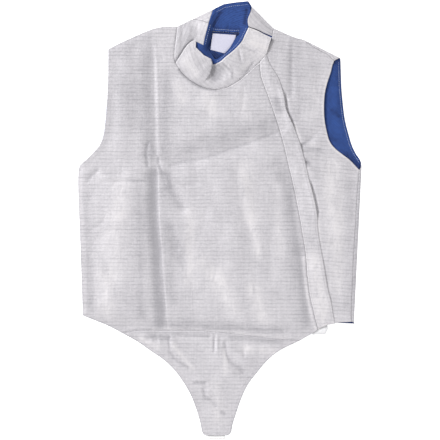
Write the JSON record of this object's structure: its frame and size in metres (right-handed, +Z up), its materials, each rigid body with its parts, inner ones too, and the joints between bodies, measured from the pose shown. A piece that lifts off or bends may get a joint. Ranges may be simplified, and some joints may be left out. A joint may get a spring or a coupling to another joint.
{
  "type": "fencing lame",
  "caption": "Sleeveless silver electric vest for foil fencing, with stand collar, covered front zip, blue lining and crotch strap, laid flat.",
  "frame": {"origin": "on the surface the vest lies on, under the middle of its whole box", "axes": "+X to the wearer's left, +Y along the vest towards the collar, +Z up from the surface, front side up"},
  "size_m": [0.5098, 0.7876, 0.0172],
  "materials": {
    "silver_cloth": "woven metal cloth, matt silver, fine cross stripe",
    "blue_lining": "plain woven cotton, matt",
    "white_label": "white satin, bare",
    "white_web": "white woven elastic and tape"
  },
  "bodies": {
    "root": {"back_shell": "silver_cloth", "front_main": "silver_cloth", "front_left": "silver_cloth", "placket": "silver_cloth", "crotch": "silver_cloth", "collar_back": "silver_cloth", "collar_side": "silver_cloth", "collar_front": "silver_cloth", "back_lining": "blue_lining", "collar_lining": "blue_lining", "neck_label": "white_label", "crotch_elastic": "white_web", "zip_tape": "white_web"}
  },
  "joints": []
}
